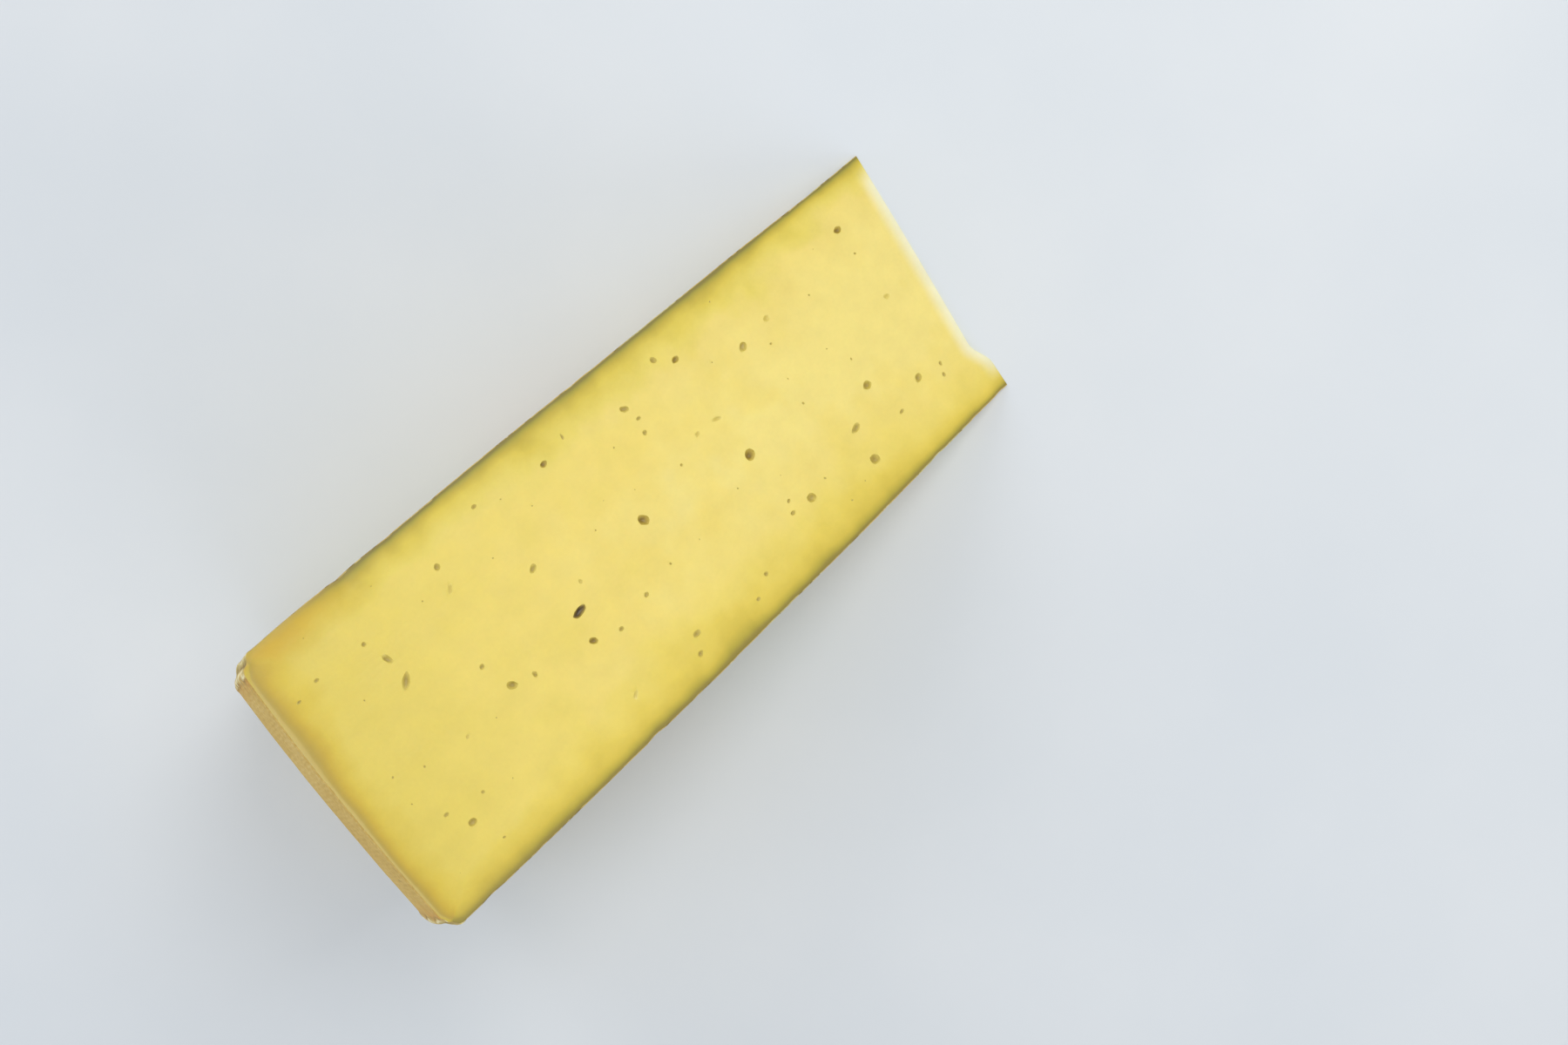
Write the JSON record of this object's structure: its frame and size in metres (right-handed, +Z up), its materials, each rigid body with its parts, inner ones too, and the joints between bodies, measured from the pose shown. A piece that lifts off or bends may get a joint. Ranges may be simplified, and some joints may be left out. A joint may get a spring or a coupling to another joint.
{
  "type": "mountain cheese wedge",
  "caption": "Wedge of hard mountain cheese cut from a wheel, lying on a cut face, with pale yellow paste, small eyes, mottled flat rinds and a golden heel.",
  "frame": {"origin": "middle of the wedge's box at its foot, on the lower cut face that it rests on", "axes": "+X from the tip to the heel, +Y along the wheel's axis from one flat rind to the other, +Z up"},
  "size_m": [0.2932, 0.106, 0.1438],
  "materials": {
    "cheese": "satin yellow paste with a dry mottled olive-tan rind on both flat faces and a golden rind on the heel"
  },
  "bodies": {
    "root": {"cheese_wedge": "cheese"}
  },
  "joints": []
}
